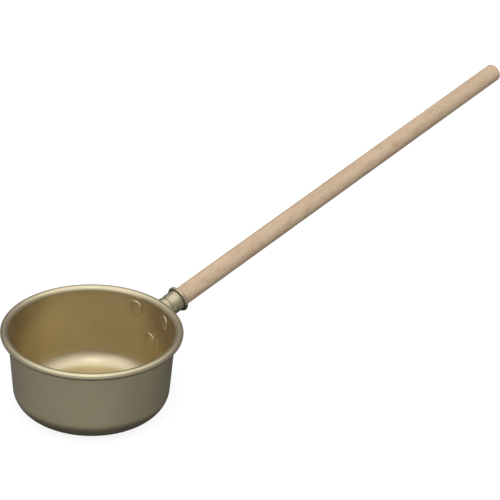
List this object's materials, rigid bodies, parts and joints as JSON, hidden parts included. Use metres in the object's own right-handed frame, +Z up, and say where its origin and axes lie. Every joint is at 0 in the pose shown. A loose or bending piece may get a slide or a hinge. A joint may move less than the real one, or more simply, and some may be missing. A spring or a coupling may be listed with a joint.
{
  "type": "long-handled melting pot",
  "caption": "Long-handled dipper pot: a round gold-anodised aluminium cup with a rolled rim, riveted to a socket that holds a plain wooden dowel handle.",
  "frame": {"origin": "centre of the pot's flat underside", "axes": "+Z up out of the pot's mouth, +X horizontal towards the handle, +Y to the left of someone who looks from the pot along the handle"},
  "size_m": [0.6396, 0.1654, 0.1755],
  "materials": {
    "pot_aluminium": "satin gold anodised",
    "socket_aluminium": "satin gold anodised",
    "rivet_aluminium": "satin gold anodised",
    "handle_wood": "sanded, unvarnished beech",
    "nail_steel": "dull steel"
  },
  "bodies": {
    "root": {"pot_bowl": "pot_aluminium", "handle_socket": "socket_aluminium", "rivet_upper_left": "rivet_aluminium", "rivet_upper_right": "rivet_aluminium", "rivet_lower": "rivet_aluminium", "wooden_handle": "handle_wood", "socket_nail": "nail_steel"}
  },
  "joints": []
}
